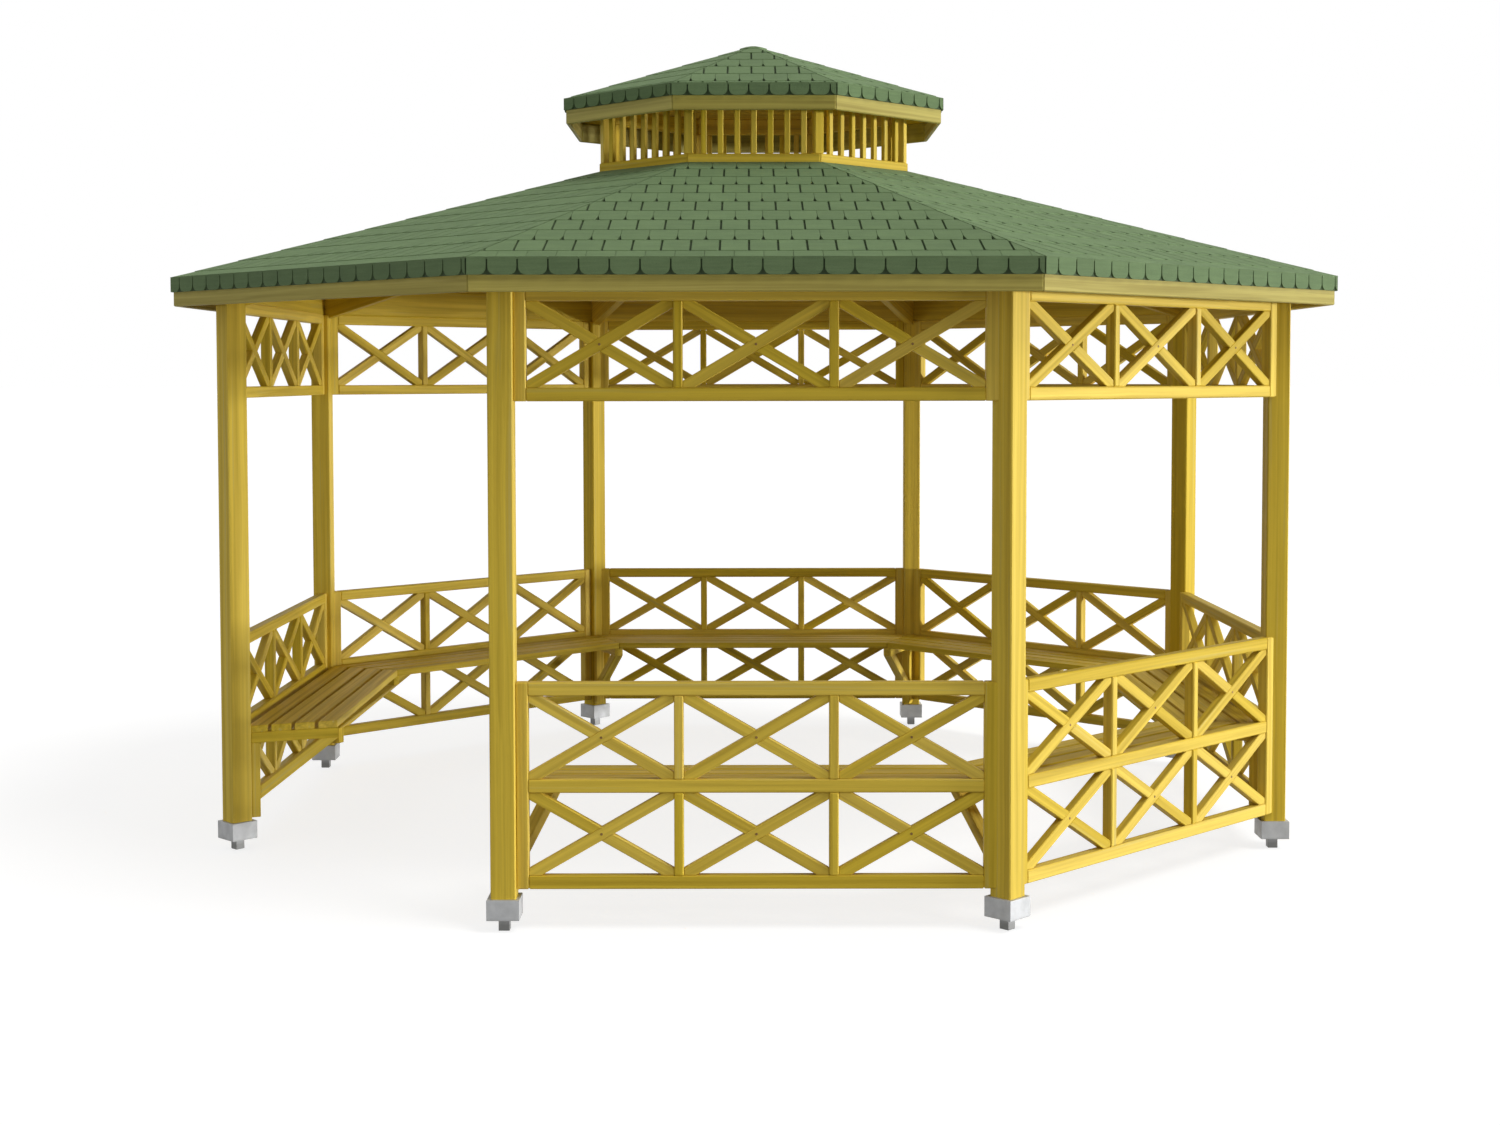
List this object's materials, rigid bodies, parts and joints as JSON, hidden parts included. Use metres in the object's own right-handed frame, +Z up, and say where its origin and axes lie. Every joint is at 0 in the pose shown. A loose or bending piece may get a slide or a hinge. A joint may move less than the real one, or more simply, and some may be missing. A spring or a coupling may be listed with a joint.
{
  "type": "gazebo",
  "caption": "Octagonal open timber gazebo with lattice railings and friezes, a perimeter bench, a shingled roof and a slatted lantern on top",
  "frame": {"origin": "centre of the octagon, on the underside of the shoe stubs", "axes": "+Z up, -Y out of the front railing side, +X to the right seen from the front; the entrance side is front-left"},
  "size_m": [4.7936, 4.7936, 3.4932],
  "materials": {
    "post_wood": "satin amber stain",
    "panel_wood": "satin amber stain",
    "bench_wood": "satin amber stain",
    "ceiling_wood": "satin amber stain",
    "shingle": "matt green mineral granules",
    "shoe_metal": "light grey coated steel"
  },
  "bodies": {
    "root": {"post_front_left": "post_wood", "post_front_right": "post_wood", "post_right_front": "post_wood", "post_right_back": "post_wood", "post_back_right": "post_wood", "post_back_left": "post_wood", "post_left_back": "post_wood", "post_left_front": "post_wood", "post_shoes": "shoe_metal", "railing_front": "panel_wood", "railing_front_right": "panel_wood", "railing_right": "panel_wood", "railing_back_right": "panel_wood", "railing_back": "panel_wood", "railing_back_left": "panel_wood", "railing_left": "panel_wood", "frieze_front": "panel_wood", "frieze_front_right": "panel_wood", "frieze_right": "panel_wood", "frieze_back_right": "panel_wood", "frieze_back": "panel_wood", "frieze_back_left": "panel_wood", "frieze_left": "panel_wood", "bench_front": "bench_wood", "bench_front_right": "bench_wood", "bench_right": "bench_wood", "bench_back_right": "bench_wood", "bench_back": "bench_wood", "bench_back_left": "bench_wood", "bench_left": "bench_wood", "bench_bearers": "bench_wood", "bench_legs": "bench_wood", "bench_struts": "bench_wood", "wall_plates": "panel_wood", "hip_rafters": "ceiling_wood", "eave_fascia": "panel_wood", "roof_boards": "ceiling_wood", "roof_shingles": "shingle", "lantern_curb": "panel_wood", "lantern_uprights": "panel_wood", "lantern_plate": "panel_wood", "lantern_fascia": "panel_wood", "lantern_boards": "ceiling_wood", "lantern_shingles": "shingle", "roof_cap": "shingle"}
  },
  "joints": []
}
